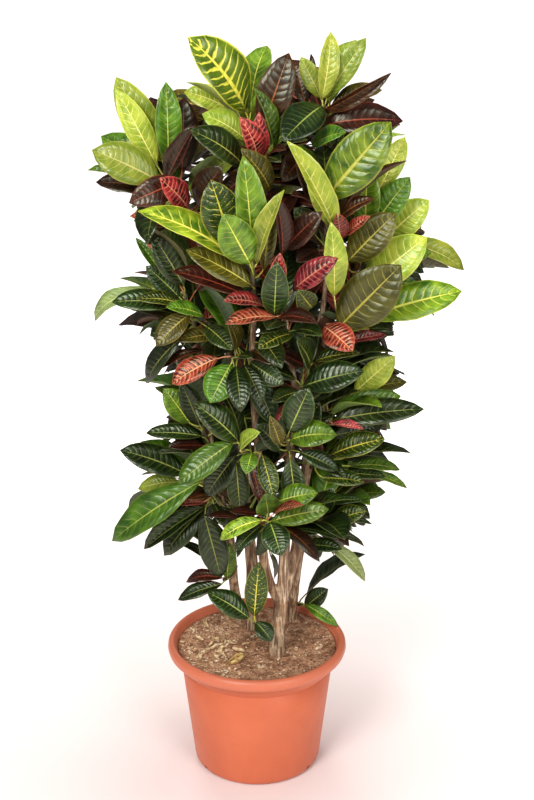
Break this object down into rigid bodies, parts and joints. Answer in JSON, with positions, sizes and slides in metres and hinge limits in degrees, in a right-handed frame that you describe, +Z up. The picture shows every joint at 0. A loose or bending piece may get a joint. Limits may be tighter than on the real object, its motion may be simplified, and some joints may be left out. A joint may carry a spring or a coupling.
{
  "type": "potted house plant",
  "caption": "Tall bushy croton with glossy green, yellow and dark red leaves on woody stems, in a round nursery pot full of soil.",
  "frame": {"origin": "middle of the pot's flat underside", "axes": "+Z up the plant, -Y towards the viewer of the picture, +X to the viewer's right"},
  "size_m": [0.6365, 0.5167, 1.3345],
  "materials": {
    "terracotta": "satin",
    "soil": "matte",
    "bark": "matte",
    "foliage": "gloss"
  },
  "bodies": {
    "root": {"pot": "terracotta", "soil": "soil", "trunk_front": "bark", "trunk_right": "bark", "trunk_left": "bark", "trunk_back": "bark", "shoot_crown_left": "foliage", "shoot_crown_right": "foliage", "shoot_right_crown": "foliage", "shoot_right_upper": "foliage", "shoot_right_mid": "foliage", "shoot_centre": "foliage", "shoot_centre_left": "foliage", "shoot_left_upper": "foliage", "shoot_left_mid": "foliage", "shoot_middle_left": "foliage", "shoot_middle_right": "foliage", "shoot_left_low": "foliage", "shoot_front_left": "foliage", "shoot_left_base": "foliage", "shoot_front_low": "foliage", "shoot_front_mid": "foliage", "shoot_right_middle": "foliage", "shoot_right_low": "foliage", "shoot_right_base": "foliage", "shoot_foot_left": "foliage", "shoot_foot_front": "foliage", "shoot_foot_right": "foliage", "shoot_back_crown_left": "foliage", "shoot_back_crown_right": "foliage", "shoot_back_upper_left": "foliage", "shoot_back_upper_right": "foliage", "shoot_back_middle": "foliage", "shoot_back_low_left": "foliage", "shoot_back_low_right": "foliage", "shoot_back_foot_left": "foliage", "shoot_back_foot_right": "foliage"}
  },
  "joints": []
}
